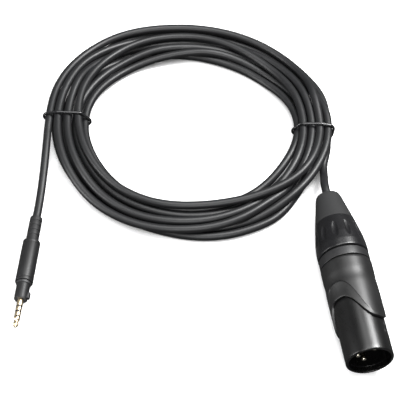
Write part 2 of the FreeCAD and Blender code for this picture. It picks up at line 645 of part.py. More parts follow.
def plug_collar():
    """Front collar with its key lug, a small flange, and the threaded end the barrel screws on."""
    bore = SHANK_R + 0.02
    flange = BARREL_END + 0.1
    body = revolved([(COLLAR_START, SCREW_BORE_R), (COLLAR_START, SCREW_R), (flange, SCREW_R),
                     (flange, COLLAR_R + FLANGE_H), (flange + 0.9, COLLAR_R + FLANGE_H),
                     (flange + 1.2, COLLAR_R), (COLLAR_END - 0.3, COLLAR_R), (COLLAR_END, COLLAR_R - 0.3),
                     (COLLAR_END, bore),
                     (CORE_END + 0.2, bore), (CORE_END + 0.2, SCREW_BORE_R)])
    lug = Part.makeBox(1.5, 1.7, 3.0, V(COLLAR_R - 0.6, -0.85, COLLAR_END - 3.4))
    lug = lug.makeFillet(0.35, lug.Edges)
    notch = Part.makeBox(1.2, 1.2, 1.6, V(COLLAR_R - 0.5, -0.6, COLLAR_END - 6.0))
    for tool in (lug, notch):
        tool.rotate(V(0, 0, 0), V(0, 0, 1), LUG_AT)
    return body.fuse(lug).cut(notch).removeSplitter()


def plug_barrel():
    """Grip barrel that screws on the collar and holds the relief sleeve in."""
    mouth, bevel = RELIEF_R + 0.07, 0.35
    body = revolved([(BARREL_START, mouth), (BARREL_START, BARREL_R - bevel), (BARREL_START + bevel, BARREL_R),
                     (BARREL_END - bevel, BARREL_R), (BARREL_END, BARREL_R - bevel),
                     (BARREL_END, SCREW_R + RUN), (COLLAR_START - 0.5, SCREW_R + RUN),
                     (COLLAR_START - 1, GRIP_BORE_R),
                     (SLEEVE_FLANGE_START - RUN, GRIP_BORE_R), (SLEEVE_FLANGE_START - RUN, mouth)])
    for z in (BARREL_START + 1.5, BARREL_END - 1.6):
        body = body.cut(cylinder(z, z + 0.3, BARREL_R + 1, BARREL_R - 0.15))
    return body


def plug_relief():
    """Rubber strain-relief sleeve with a flange caught inside the barrel."""
    bore = CABLE_D / 2 + RUN
    body = revolved([(0, bore), (0, RELIEF_R - 0.25), (0.25, RELIEF_R), (SLEEVE_FLANGE_START, RELIEF_R),
                     (SLEEVE_FLANGE_START, SLEEVE_FLANGE_R), (SLEEVE_FLANGE_END, SLEEVE_FLANGE_R),
                     (SLEEVE_FLANGE_END, bore)])
    for k in range(SLEEVE_RINGS):
        z = 2.0 + 4 * SLEEVE_RING_W * k
        body = body.cut(cylinder(z, z + SLEEVE_RING_W, RELIEF_R + 1, RELIEF_R - 0.25))
    return body


# ---------------------------------------------------------------- ties

def hull(points):
    """Corners of the tight outline round points in a plane, counter-clockwise."""
    pts = sorted(points)

    def half(seq):
        out = []
        for p in seq:
            while len(out) > 1 and ((out[-1][0] - out[-2][0]) * (p[1] - out[-2][1])
                                    - (out[-1][1] - out[-2][1]) * (p[0] - out[-2][0])) <= 0:
                out.pop()
            out.append(p)
        return out[:-1]

    return half(pts) + half(pts[::-1])


def strands_at(curve, angle):
    """(radius, height) of every strand where the curve crosses a travel angle."""
    t = math.radians(180 - angle)
    n = V(-math.sin(t), math.cos(t), 0)
    out_dir = V(math.cos(t), math.sin(t), 0)
    count = 4000             # steps along the coil, about 0.7 mm each
    u0, u1 = curve.FirstParameter, curve.LastParameter
    found, before = [], None
    for k in range(count + 1):
        p = curve.value(u0 + (u1 - u0) * k / count) - COIL_CENTRE
        side = p.dot(n)
        if before and before[1] * side < 0 and p.dot(out_dir) > 0:
            q = before[0] + (p - before[0]) * (before[1] / (before[1] - side))
            found.append((q.dot(out_dir), q.z))
        before = (p, side)
    return found


def tie_loop(curve, angle):
    """Closed centre line of the wire round the strands at a travel angle, and where its ends twist."""
    corners = hull(strands_at(curve, angle))
    outline = Part.makePolygon([V(x, y, 0) for x, y in corners + [corners[0]]])
    loop = outline.makeOffset2D((CABLE_D + TIE_D) / 2 + TIE_GAP)
    t = math.radians(180 - angle)
    radial = V(math.cos(t), math.sin(t), 0)
    m = FreeCAD.Matrix(radial.x, 0, radial.y, 0, radial.y, 0, -radial.x, 0, 0, 1, 0, 0, 0, 0, 0, 1)
    loop.Placement = FreeCAD.Placement(m)
    loop.translate(COIL_CENTRE)
    along = V(radial.y, -radial.x, 0)
    return loop, COIL_CENTRE + radial * TWIST_AT, along


def wire_along(path_wire, radius):
    """Round wire along a closed path of lines and arcs."""
    whole = None
    for e in path_wire.OrderedEdges:
        start, end = e.valueAt(e.FirstParameter), e.valueAt(e.LastParameter)
        disc = Part.Face(Part.Wire(Part.makeCircle(radius, start, e.tangentAt(e.FirstParameter))))
        if isinstance(e.Curve, Part.Circle):
            sweep = math.degrees(e.LastParameter - e.FirstParameter)
            piece = disc.revolve(e.Curve.Center, e.Curve.Axis, sweep)
        else:
            piece = disc.extrude(end - start)
        whole = piece if whole is None else whole.fuse(piece)
    return whole.removeSplitter()


def pigtail(start, along, phase):
    """One of the two twisted ends, lying flat under the strands."""
    up = V(0, 0, 1)
    side = along.cross(up)
    points = []
    for k in range(17):
        s = PIGTAIL_LEN * k / 16
        a = math.radians(phase) + 2 * math.pi * s / PIGTAIL_PITCH
        points.append(start + along * s + (up * math.cos(a) + side * math.sin(a)) * (TWIST_R * TIE_D))
    return swept_round(through(points), TIE_D / 2)


def tie(curve, angle):
    """Coating and steel wire of one tie."""
    loop, twist, along = tie_loop(curve, angle)
    twist.z = TIE_D + 0.04
    wire = wire_along(loop, TIE_WIRE_D / 2)
    coat = wire_along(loop, TIE_D / 2)
    for phase in (0, 180):
        coat = coat.fuse(pigtail(twist, along, phase))
    return coat.cut(wire), wire


def conductor(points, radius):
    """Insulated conductor through points."""
    return swept_round(through(points), radius)


def coil_core(curve):
    """Shield and twisted conductors inside the coil's jacket."""
    inner = part_of(curve, CORE_INSET, CORE_INSET)
    pieces = {"cable_shield": swept_tube(inner, JACKET_BORE_D / 2 - FIT, SHIELD_BORE_D / 2)}
    for n in range(4):
        points = beside(inner, CONDUCTOR_PITCH_R, 90 * n, CONDUCTOR_TWIST, CONDUCTOR_TWIST / 8)
        pieces["cable_conductor_%d" % (n + 1)] = conductor(points, CONDUCTOR_D / 2)
    return pieces


def tail_conductors(curve, jacket_end, spread):
    """Twisted conductors of a tail, each led on through its own spread of points past the jacket's end."""
    inside = part_of(curve, 2.3, curve.length() - jacket_end)
    out = []
    for n in range(4):
        points = beside(inside, CONDUCTOR_PITCH_R, 90 * n + 45, 10 * CONDUCTOR_TWIST, 3.0)
        out.append(conductor(points + spread[n], CONDUCTOR_D / 2))
    return out


def build_cable():
    """Coil, ties and both tails."""
    coil = coil_curve()
    save("cable_jacket", coil_jacket(coil))
    for name, shape in coil_core(coil).items():
        save(name, shape)
    for side, angle in (("left", LEFT_TIE_AT), ("right", RIGHT_TIE_AT)):
        coat, wire = tie(coil, angle)
        save("tie_%s_coating" % side, coat)
        save("tie_%s_wire" % side, wire)


def axis_point(start, turn, along, aside=0.0, up=0.0):
    """Point on a connector, from its distance along the axis and its offsets to -X side and up."""
    d = heading(turn)
    return COIL_CENTRE + start + d * along + d.cross(V(0, 0, 1)) * aside + V(0, 0, up)


def build_xlr():
    """XLR connector with its tail."""
    def put(name, shape):
        save(name, placed(shape, XLR_BOOT_END, XLR_TURN))

    tail = tail_curve(XLR_HINGE, rising(heading(1.0)), XLR_BOOT_END, XLR_TURN, 3.4, XLR_JACKET_END)
    save("xlr_tail_jacket", tail_jacket(tail))
    spread = []
    places = pin_places(CUP_START)
    for place in places[2:] + places[:2]:
        opening = [axis_point(XLR_BOOT_END, XLR_TURN, XLR_JACKET_END + along, share * place.y, share * place.x)
                   for along, share in ((1.0, 0.17), (2.5, 0.36), (4.0, 0.62), (5.5, 0.88))]
        ends = [axis_point(XLR_BOOT_END, XLR_TURN, place.z + k, place.y, place.x) for k in (0.6, 1.6, 2.6)]
        spread.append(opening + ends)
    for n, wire in enumerate(tail_conductors(tail, tail.length() - 0.5, spread)):
        save("xlr_conductor_%d" % (n + 1), wire)
    put("xlr_shell", xlr_shell())
    put("xlr_insert", xlr_insert())
    for n in range(4):
        put("xlr_contact_%d" % (n + 1), xlr_contact(n))
    put("xlr_ground_spring", xlr_ground_spring())
    put("xlr_coding_ring", xlr_coding_ring())
    put("xlr_chuck", xlr_chuck())
    put("xlr_nut", xlr_nut())
    put("xlr_boot", xlr_boot())


def build_plug():
    """2.5 mm plug with its tail."""
    tail = tail_curve(PLUG_HINGE, heading(0), PLUG_SLEEVE_END, PLUG_TURN, 4.0, PLUG_WIRE_END)
    save("plug_tail_jacket", tail_jacket(part_of(tail, 0, PLUG_WIRE_END - PLUG_JACKET_END)))
    for n, wire in enumerate(tail_conductors(tail, tail.length(), [[]] * 4)):
        save("plug_conductor_%d" % (n + 1), wire)
    pieces = plug_pieces()
    pieces["plug_core"] = plug_core()
    pieces["plug_collar"] = plug_collar()
    pieces["plug_barrel"] = plug_barrel()
    pieces["plug_relief"] = plug_relief()
    for name, shape in pieces.items():
        save(name, placed(shape, PLUG_SLEEVE_END, PLUG_TURN))


def main():
    os.makedirs("parts", exist_ok=True)
    build_xlr()
    build_plug()
    build_cable()


main()
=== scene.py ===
import json
import math

import bmesh
import bpy
import numpy as np
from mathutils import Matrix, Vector
from mathutils.bvhtree import BVHTree


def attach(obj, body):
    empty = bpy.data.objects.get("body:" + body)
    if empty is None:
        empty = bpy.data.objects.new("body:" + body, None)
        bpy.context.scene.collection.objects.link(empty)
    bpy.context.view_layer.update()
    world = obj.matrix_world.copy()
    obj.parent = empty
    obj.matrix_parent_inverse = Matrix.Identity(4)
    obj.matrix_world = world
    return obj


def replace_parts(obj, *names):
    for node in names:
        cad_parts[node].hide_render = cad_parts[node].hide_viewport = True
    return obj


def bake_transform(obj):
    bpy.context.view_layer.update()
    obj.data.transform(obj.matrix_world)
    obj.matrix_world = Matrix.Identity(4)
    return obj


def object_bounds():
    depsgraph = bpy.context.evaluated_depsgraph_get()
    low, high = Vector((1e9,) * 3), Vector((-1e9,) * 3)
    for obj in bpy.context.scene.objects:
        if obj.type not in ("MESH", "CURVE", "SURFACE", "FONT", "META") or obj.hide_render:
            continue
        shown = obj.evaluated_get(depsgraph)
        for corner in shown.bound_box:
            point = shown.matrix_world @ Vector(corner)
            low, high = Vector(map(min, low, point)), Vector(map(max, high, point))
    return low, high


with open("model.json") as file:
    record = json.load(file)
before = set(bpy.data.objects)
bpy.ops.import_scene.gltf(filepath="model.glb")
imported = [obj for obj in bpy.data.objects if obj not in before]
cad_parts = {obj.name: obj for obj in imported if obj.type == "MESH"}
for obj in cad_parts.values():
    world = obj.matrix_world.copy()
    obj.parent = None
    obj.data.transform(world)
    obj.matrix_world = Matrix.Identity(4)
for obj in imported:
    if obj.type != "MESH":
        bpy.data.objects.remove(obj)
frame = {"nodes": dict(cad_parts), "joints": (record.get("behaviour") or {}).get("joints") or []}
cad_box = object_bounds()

# Looks of a coiled XLR cable. Lengths are in millimetres unless a name says metres, and turn into metres where a
# mesh is made. Places are read from the frame; each connector is drawn along its own axis from its cable end.

MM = 0.001
SIDES = 28               # faces round the cable
CABLE_R, BORE_R = 1.75, 1.25
WALK = 3.0               # step when walking along a cable's bore
RAYS = 12                # rays that centre each step
RING_GAP = 2.0           # length of cable between two rings of its mesh
LEAD_BACK = 14.0         # how much of the coil goes into each lead
ROUND = 192              # faces round the XLR
FLUTES = 12
THREAD_PITCH, THREAD_DEPTH = 1.0, 0.4
WAVE = (20.15, 5.5, 5)   # wavy step: mean distance from the shell's tip, swing, and degrees that it is turned
SCOOP = (23.6, 8.8, 1)   # the same for the line where the scoop starts
BAND_AT, BAND_HALF, BAND_DEPTH = 8.9, 3.4, 0.16    # shallow waist round the shell's rear body
STEP_DROP = 0.35         # least height of the wavy step
SCOOP_SLOPE = 0.055      # how fast the scoop falls away towards the step
KEY_AT = 115             # degrees from the top towards +X
LATCH_BACK, LATCH_LEN, LATCH_DEPTH = 6.4, 4.0, 0.45     # latch slot: distance from the tip, size and depth
ELEVATION = 53           # degrees above the horizon at which the camera looks down
CAMERA_AWAY = 559
AIM_ASIDE, AIM_AHEAD = 0.3, -6.6   # where the camera aims, from the middle of the object's footprint
FLOOR_GLOW = 0.42        # light that the floor adds for the camera
# The floor's bounce grey is also the painted shade that the camera sees deep between the strands.
FLOOR_BOUNCE_AND_SHADE = 0.06      # how much of the light the floor sends back to the object
ROOM = 0.10              # brightness of the room that the object mirrors


# ---------------------------------------------------------------- reading the frame

def unit(v):
    return v / np.linalg.norm(v)


def points_of(node):
    """A CAD node's vertices."""
    mesh = frame["nodes"][node].data
    co = np.zeros(3 * len(mesh.vertices))
    mesh.vertices.foreach_get("co", co)
    return co.reshape(-1, 3) / MM


def joint(name):
    return [j for j in frame["joints"] if j["name"] == name][0]


class Axis:
    """A connector's axis. s runs from its cable end to its free end, and angles from the top towards +X."""

    def __init__(self, turning_joint, first_node):
        j = joint(turning_joint)
        self.d = -unit(np.array(j["axis"], float))
        self.up = np.array([0.0, 0.0, 1.0])
        self.side = np.cross(self.up, self.d)
        self.origin = np.array(j["pos_m"], float) / MM
        self.origin = self.origin + self.d * self.span(first_node)[0]

    def span(self, node):
        """Lowest s, highest s, least radius and greatest radius of a node."""
        p = points_of(node) - self.origin
        s = p @ self.d
        r = np.linalg.norm(p - np.outer(s, self.d), axis=1)
        return s.min(), s.max(), r.min(), r.max()

    def place(self, s, r, phi):
        """Points at distances s, radii r and angles phi."""
        out = self.origin + np.multiply.outer(s, self.d)
        out = out + (r * np.cos(phi))[..., None] * self.up
        return out + (r * np.sin(phi))[..., None] * self.side


# ---------------------------------------------------------------- meshes

def grid_piece(name, points, closed=True, length_v=None):
    """Mesh of quads over a grid of rings; closed joins the last ring to the first."""
    rows, cols = points.shape[:2]
    i = np.arange(rows if closed else rows - 1)[:, None]
    j = np.arange(cols)[None, :]
    i2, j2 = (i + 1) % rows, (j + 1) % cols
    quads = np.stack([i * cols + j, i2 * cols + j, i2 * cols + j2, i * cols + j2], -1).reshape(-1, 4)
    mesh = bpy.data.meshes.new(name)
    mesh.from_pydata((points.reshape(-1, 3) * MM).tolist(), [], quads.tolist())
    v = np.linspace(0, 1, rows) if length_v is None else length_v
    u_here, u_next = np.broadcast_to(j / cols, (len(i), cols)), np.broadcast_to((j + 1) / cols, (len(i), cols))
    v_here, v_next = np.broadcast_to(v[i], (len(i), cols)), np.broadcast_to(v[i2], (len(i), cols))
    uv = np.stack([u_here, v_here, u_here, v_next, u_next, v_next, u_next, v_here], -1).reshape(-1)
    mesh.uv_layers.new(name="UVMap").data.foreach_set("uv", uv.astype(np.float32))
    return finish_mesh(name, mesh)


def finish_mesh(name, mesh, crease=38):
    """Object with outward normals and smooth shading that breaks at sharp edges."""
    work = bmesh.new()
    work.from_mesh(mesh)
    bmesh.ops.recalc_face_normals(work, faces=work.faces)
    work.to_mesh(mesh)
    work.free()
    mesh.shade_smooth()
    mesh.set_sharp_from_angle(angle=math.radians(crease))
    obj = bpy.data.objects.new(name, mesh)
    bpy.context.scene.collection.objects.link(obj)
    return obj


def rounded(corners, steps=4):
    """Profile through (s, r, bevel) corners, with an arc of about the bevel's size at each."""
    out = []
    for k, (s, r, bevel) in enumerate(corners):
        here = np.array((s, r), float)
        before = np.array(corners[k - 1][:2], float)
        after = np.array(corners[(k + 1) % len(corners)][:2], float)
        if bevel == 0:
            out.append(here)
            continue
        a, b = before - here, after - here
        reach = min(bevel, 0.45 * np.linalg.norm(a), 0.45 * np.linalg.norm(b))
        start, end = here + unit(a) * reach, here + unit(b) * reach
        for t in np.linspace(0, 1, steps + 1):
            out.append(start * (1 - t) ** 2 + here * 2 * t * (1 - t) + end * t * t)
    return np.array(out)


def lathe(name, axis, corners, cols=96, steps=4, shape=None, centre=(0.0, 0.0)):
    """Turned piece from a closed profile; shape(s, r, phi) may change the radii, and centre moves it (up, aside)."""
    profile = rounded(corners, steps)
    phi = np.broadcast_to(np.linspace(0, 2 * math.pi, cols, endpoint=False), (len(profile), cols))
    s = np.broadcast_to(profile[:, :1], phi.shape)
    r = np.broadcast_to(profile[:, 1:], phi.shape)
    if shape:
        r = shape(s, r, phi)
    points = axis.place(s, r, phi) + centre[0] * axis.up + centre[1] * axis.side
    return grid_piece(name, points, True, profile[:, 0])


# ---------------------------------------------------------------- cable

def bore_line(node, start, heading, stop=None):
    """Centre line of a hollow cable, walked along its bore from start and centred by rays to the wall."""
    mesh = frame["nodes"][node].data
    mesh.calc_loop_triangles()
    wall = BVHTree.FromPolygons(points_of(node).tolist(), [tuple(t.vertices) for t in mesh.loop_triangles])
    line, before, ahead = [start], heading, heading
    while stop is None or np.linalg.norm(line[-1] - stop) > 1.4 * WALK:
        centre = line[-1] + ahead * WALK
        side = unit(np.cross(ahead, [0, 0, 1]))
        up = np.cross(side, ahead)
        spokes = [side * math.cos(a) + up * math.sin(a) for a in np.linspace(0, 2 * math.pi, RAYS, endpoint=False)]
        for repeat in range(3):
            hits = [wall.ray_cast(Vector(centre), Vector(spoke), 2 * CABLE_R)[3] for spoke in spokes]
            if None in hits:
                return line
            centre = centre + 2 / RAYS * sum(far * spoke for far, spoke in zip(hits, spokes))
        line.append(centre)
        now = unit(line[-1] - line[-2])
        before, ahead = now, unit(2 * now - before)
    return line


def evenly(line, gap):
    """Smooth curve through points, at even steps along its length."""
    p = np.array(line)
    p = np.vstack([2 * p[0] - p[1], p, 2 * p[-1] - p[-2]])
    t = np.linspace(0, 1, 9)[:-1, None]
    fine = []
    for a, b, c, d in zip(p, p[1:], p[2:], p[3:]):
        fine.append(0.5 * (2 * b + (c - a) * t + (2 * a - 5 * b + 4 * c - d) * t**2
                           + (3 * b - a - 3 * c + d) * t**3))
    fine = np.vstack(fine + [p[-2:-1]])
    length = np.r_[0, np.cumsum(np.linalg.norm(np.diff(fine, axis=0), axis=1))]
    at = np.linspace(0, length[-1], max(int(length[-1] / gap), 2) + 1)
    return np.stack([np.interp(at, length, fine[:, k]) for k in range(3)], 1), at


def rings_along(line, radius):
    """Rings of points round a line, carried along it without twisting."""
    tangent = np.gradient(line, axis=0)
    tangent /= np.linalg.norm(tangent, axis=1)[:, None]
    side = unit(np.cross(tangent[0], [0, 0, 1]))
    phi = np.linspace(0, 2 * math.pi, SIDES, endpoint=False)
    rings = []
    for p, t in zip(line, tangent):
        side = unit(side - (side @ t) * t)
        up = np.cross(side, t)
        rings.append(p + radius * (np.outer(np.cos(phi), side) + np.outer(np.sin(phi), up)))
    return np.array(rings)


def cable_piece(name, line, at):
    """Hollow cable along a line."""
    outer, inner = rings_along(line, CABLE_R), rings_along(line, BORE_R)
    return grid_piece(name, np.concatenate([outer, inner[::-1]]), True, np.r_[at, at[::-1]])


def build_cable():
    """The coil and the two leads where the cable leaves it."""
    hinge = {}
    tail = {}
    for end in ("plug", "xlr"):
        hinge[end] = np.array(joint(end + "_tail_swing")["pos_m"], float) / MM
        own = points_of(end + "_tail_jacket")
        away = np.linalg.norm(own - hinge[end], axis=1)
        heading = unit(own[(away > 2) & (away < 4)].mean(0) - hinge[end])
        tail[end] = (heading, bore_line(end + "_tail_jacket", hinge[end], heading))
    coil = bore_line("cable_jacket", hinge["plug"], -tail["plug"][0], hinge["xlr"])
    whole = tail["plug"][1][::-1] + coil[1:] + [hinge["xlr"]] + tail["xlr"][1][1:]
    line, at = evenly(whole, RING_GAP)
    at_plug = at[np.linalg.norm(line - hinge["plug"], axis=1).argmin()]
    at_xlr = at[np.linalg.norm(line - hinge["xlr"], axis=1).argmin()]
    from_plug = int(np.searchsorted(at, at_plug + LEAD_BACK))
    to_xlr = int(np.searchsorted(at, at_xlr - LEAD_BACK))
    coil_piece = cable_piece("coil_cable", line[from_plug:to_xlr + 1], at[from_plug:to_xlr + 1])
    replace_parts(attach(coil_piece, "coil"), "cable_jacket")
    pieces = [coil_piece]
    for end, part, hinge_at in (("plug", slice(0, from_plug + 1), at_plug), ("xlr", slice(to_xlr, None), at_xlr)):
        lead = cable_piece(end + "_lead", line[part], at[part])
        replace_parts(lead, end + "_tail_jacket")
        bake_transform(lead)
        pieces.append(lead)
    for piece in pieces:
        piece.data.materials.append(cable_material())


# ---------------------------------------------------------------- XLR connector

def smooth_bump(x):
    """1 at x = 0, falling smoothly to 0 at x = -1 and 1."""
    x = np.clip(abs(x), 0, 1)
    return (1 - x * x) ** 2


def wavy(tip, phi, before_tip, swing, turn):
    """Line round the shell that swings twice, with steep flanks and flat ends."""
    phase = 2 * (phi + math.radians(turn))
    return tip - before_tip + 1.1 * swing * (np.sin(phase) + 0.1 * np.sin(3 * phase))


def shell_rows(tip, start, phi):
    """(s, r) rows of the shell's outside and inside, each running round the shell, and the nose's first row."""
    outer, nose, mouth, bore = 10.5, 9.5, 8.3, 7.96
    wave = wavy(tip, phi, *WAVE)
    scoop = np.minimum(wavy(tip, phi, *SCOOP), wave - 0.9)
    lip = np.maximum(nose + STEP_DROP, outer - SCOOP_SLOPE * (wave - scoop))
    line = 0.22 * np.clip((wave - scoop - 1.2) / 2.5, 0, 1)
    level = np.ones_like(phi)
    rows = [(start * level, bore), (start * level, outer - 0.75), (start * level + 0.05, outer - 0.45),
            (start * level + 0.2, outer - 0.16), (start * level + 0.45, outer)]
    for share in np.linspace(0.04, 0.96, 24):
        s = start + 0.45 + share * (scoop - start - 0.75)
        rows.append((s, outer - BAND_DEPTH * smooth_bump((s - start - BAND_AT) / BAND_HALF)))
    rows += [(scoop - 0.24, outer), (scoop - 0.1, outer - line), (scoop + 0.1, outer - line - 0.02),
             (scoop + 0.26, outer - 0.04)]
    for share in np.linspace(0, 1, 16)[1:-1]:
        dip = 0.10 * math.sin(math.pi * share) * np.clip(wave - scoop - 1, 0, 6) / 6
        rows.append((scoop + 0.26 + share * (wave - scoop - 0.5), outer - 0.04 + share * (lip - outer + 0.04) - dip))
    rows += [(wave - 0.12, lip), (wave - 0.03, lip - 0.03), (wave, lip - 0.12)]
    nose_row = len(rows)
    rows += [(wave + 0.02, nose - 0.40), (wave + 0.14, nose - 0.50), (wave + 0.42, nose - 0.46),
             (wave + 0.55, nose - 0.10), (wave + 0.7, nose)]
    for share in np.linspace(0.05, 1, 12):
        rows.append((wave + 0.7 + share * (tip - LATCH_BACK - 0.12 - wave - 0.7), nose))
    slot = LATCH_DEPTH * (abs(phi - math.radians(KEY_AT)) * nose < LATCH_LEN / 2)
    slot_end = LATCH_BACK - LATCH_LEN
    rows += [(tip - LATCH_BACK + 0 * phi, nose - 0.3 * slot), (tip - LATCH_BACK + 0.15 + 0 * phi, nose - slot),
             (tip - slot_end - 0.15 + 0 * phi, nose - slot), (tip - slot_end + 0 * phi, nose - 0.3 * slot),
             (tip - slot_end + 0.12 + 0 * phi, nose)]
    rows += [(tip - 0.5 * level, nose), (tip - 0.38 * level, nose - 0.01), (tip - 0.16 * level, nose - 0.09),
             (tip - 0.04 * level, nose - 0.24), (tip * level, nose - 0.4), (tip * level, mouth + 0.36),
             (tip - 0.05 * level, mouth + 0.2), (tip - 0.16 * level, mouth + 0.11)]
    groove = 0.55 * (abs(phi - math.radians(KEY_AT)) * mouth < 1.2)
    rows += [(tip - 0.4 * level, mouth + 0.1 + groove), (tip - 2.4 * level, mouth + 0.1 + groove),
             (tip - 2.5 * level, mouth + groove), (tip - 9.0 * level, mouth + groove), (tip - 9.1 * level, mouth),
             (tip - 34.0 * level, mouth), (tip - 34.2 * level, bore)]
    return rows, nose_row


def build_shell(axis):
    """Die-cast shell: rear body, scoop, wavy step, nose, rim and key groove."""
    start, tip = axis.span("xlr_shell")[:2]
    phi = np.linspace(0, 2 * math.pi, ROUND, endpoint=False)
    rows, nose_row = shell_rows(tip, start, phi)
    s = np.array([row[0] for row in rows])
    r = np.array([row[1] * np.ones_like(phi) for row in rows])
    piece = grid_piece("shell", axis.place(s, r, np.broadcast_to(phi, s.shape)), True, s[:, 0])
    dress(piece, "xlr_tail", shell_material("shell_satin", 0.005, 0.012, 0.34, 0.2), "shell_black", "xlr_shell")
    piece.data.materials.append(shell_material("shell_smooth", 0.002, 0.005, 0.24, 1.0))
    for face in piece.data.polygons[nose_row * ROUND:]:
        face.material_index = 1


def flute_radius(axis_r, middle, s, r, phi):
    """Radius left after cutting the pointed flutes round the nut's grip."""
    half, widest, lean = 7.5, 1.7, math.tan(math.radians(8.9))
    pitch = 2 * math.pi / FLUTES
    off = phi % pitch - pitch / 2
    tool = widest * np.clip(1 - ((s - middle) / half) ** 2, 0, 1)
    centre = axis_r + (s - middle) * lean
    inside = tool**2 - (centre * np.sin(off)) ** 2
    cut = centre * np.cos(off) - np.sqrt(np.clip(inside, 0, None))
    return np.where(inside > 0, np.minimum(r, cut), r)


def build_nut(axis):
    """Fluted nut, and the thread that goes into the shell."""
    start, end = axis.span("xlr_boot")[1] + 0.05, axis.span("xlr_coding_ring")[0] - 0.4
    waist = [(start, 5.7, 0), (start, 8.42, 0.12)]
    grip = [(start + k * (end - start - 0.3) / 60, None, 0) for k in range(1, 60)]

    def profile_r(s):
        return np.interp(s, [start, start + 9.1, start + 13.1, end], [8.45, 10.1, 10.5, 10.5])

    corners = waist + [(s, float(profile_r(s)), 0) for s, r, b in grip]
    corners += [(end - 0.25, 10.45, 0.2), (end, 10.05, 0.12), (end, 7.9, 0), (end - 8, 7.0, 0), (start + 4, 6.9, 0)]
    piece = lathe("nut", axis, corners, 12 * 32, 3,
                  lambda s, r, phi: np.where(r > 8, flute_radius(10.9, start + 7.7, s, r, phi), r))
    dress(piece, "xlr_nut", nut_material(), "nut_gloss", "xlr_nut")
    foot, tip = end - 0.6, axis.span("xlr_nut")[1]
    first, last = tip - 7.0, tip - 0.8
    outside = [(s, 7.9, 0) for s in np.linspace(first - 0.5, last + 0.6, 96)]

    def thread(s, r, phi):
        turn = ((s - first) / THREAD_PITCH + phi / (2 * math.pi)) % 1
        groove = np.clip(1 - abs(turn - 0.5) / 0.42, 0, 1)
        ends = np.clip((s - first) / 0.4, 0, 1) * np.clip((last - s) / 0.4, 0, 1)
        return np.where(r > 7.8, r - THREAD_DEPTH * groove * ends, r)

    corners = [(foot, 6.9, 0), (foot, 7.9, 0)] + outside + [(tip, 7.7, 0.1), (tip, 6.9, 0.1)]
    piece = lathe("nut_thread", axis, corners, 96, 2, thread)
    dress(piece, "xlr_nut", nut_material(), "nut_gloss", "xlr_nut")


def build_boot(axis):
    """Soft boot the cable comes out of."""
    start, end = axis.span("xlr_boot")[:2]
    corners = [(start, 1.9, 0.15), (start, 4.9, 1.3), (start + 1.6, 5.55, 1.2), (end, 8.4, 0.25), (end, 5.7, 0),
               (end - 5.8, 5.7, 0), (end - 5.8, 1.9, 0)]
    piece = lathe("boot", axis, corners, 128, 6)
    dress(piece, "xlr_nut", boot_material(), "boot_rubber", "xlr_boot")


def build_coding_ring(axis):
    """Ring held between the nut and the shell."""
    start, end = axis.span("xlr_coding_ring")[:2]
    corners = [(start, 8.1, 0), (start, 9.7, 0), (start + 0.35, 10.38, 0.2), (end - 0.12, 10.38, 0.2), (end, 10.1, 0.1),
               (end, 8.1, 0)]
    piece = lathe("coding_ring", axis, corners, 128, 5)
    dress(piece, "xlr_ring", ring_material(), "ring_black", "xlr_coding_ring")


def build_pins(axis):
    """Round-nosed pins in the XLR's mouth."""
    for n in range(1, 5):
        node = "xlr_contact_%d" % n
        p = points_of(node) - axis.origin
        start, tip = axis.span(node)[:2]
        near_tip = p[p @ axis.d > tip - 3]
        aside, up = (near_tip @ axis.side).mean(), (near_tip @ axis.up).mean()
        corners = [(start, 0.02, 0), (start, 1.42, 0.1), (start + 6.9, 1.42, 0.1), (start + 6.9, 1.18, 0),
                   (tip - 0.9, 1.18, 0.4), (tip - 0.25, 0.95, 0.3), (tip, 0.45, 0.2), (tip, 0.02, 0)]
        pin = lathe("pin_%d" % n, axis, corners, 40, 5, None, (up, aside))
        dress(pin, "xlr_tail", contact_material(), "contact_plated", node)


# ---------------------------------------------------------------- small plug

def build_plug(axis):
    """Relief sleeve, barrel, and the plug's contacts and black rings."""
    start, end = axis.span("plug_relief")[:2]
    seen = axis.span("plug_barrel")[0]
    corners = [(start, 1.85, 0.05), (start, 2.62, 0.22)]
    for k in range(4):
        z = start + 2.0 + 2.4 * k
        corners += [(z, 2.64, 0.08), (z + 0.05, 2.42, 0.08), (z + 0.55, 2.42, 0.08), (z + 0.6, 2.64, 0.08)]
    corners += [(seen + 1.1, 2.64, 0), (seen + 1.1, 2.86, 0), (end, 2.86, 0), (end, 1.85, 0)]
    dress(lathe("relief", axis, corners, 96), "plug_relief", relief_material(), "relief_rubber", "plug_relief")

    start, end = axis.span("plug_barrel")[:2]
    groove = [(start + 1.5, 3.64, 0.06), (start + 1.54, 3.5, 0.06), (start + 1.76, 3.5, 0.06), (start + 1.8, 3.64, 0.06)]
    groove += [(end - 1.6, 3.64, 0.06), (end - 1.56, 3.5, 0.06), (end - 1.34, 3.5, 0.06), (end - 1.3, 3.64, 0.06)]
    corners = [(start, 2.75, 0.05), (start, 3.64, 0.3)] + groove + [(end, 3.64, 0.28), (end, 2.6, 0), (end - 7, 2.6, 0),
                                                                   (end - 7.5, 2.95, 0), (start + 1, 2.95, 0),
                                                                   (start + 1, 2.75, 0)]
    dress(lathe("barrel", axis, corners, 96), "plug_barrel", plug_body_material(), "plug_body", "plug_barrel")

    for node in ("plug_sleeve_contact", "plug_ring_contact_1", "plug_ring_contact_2"):
        build_band(axis, node, gold_material(), "gold", 0.06)
    for n in (1, 2, 3):
        build_band(axis, "plug_insulator_%d" % n, insulator_material(), "plug_insulator", 0.02)
    build_tip(axis)


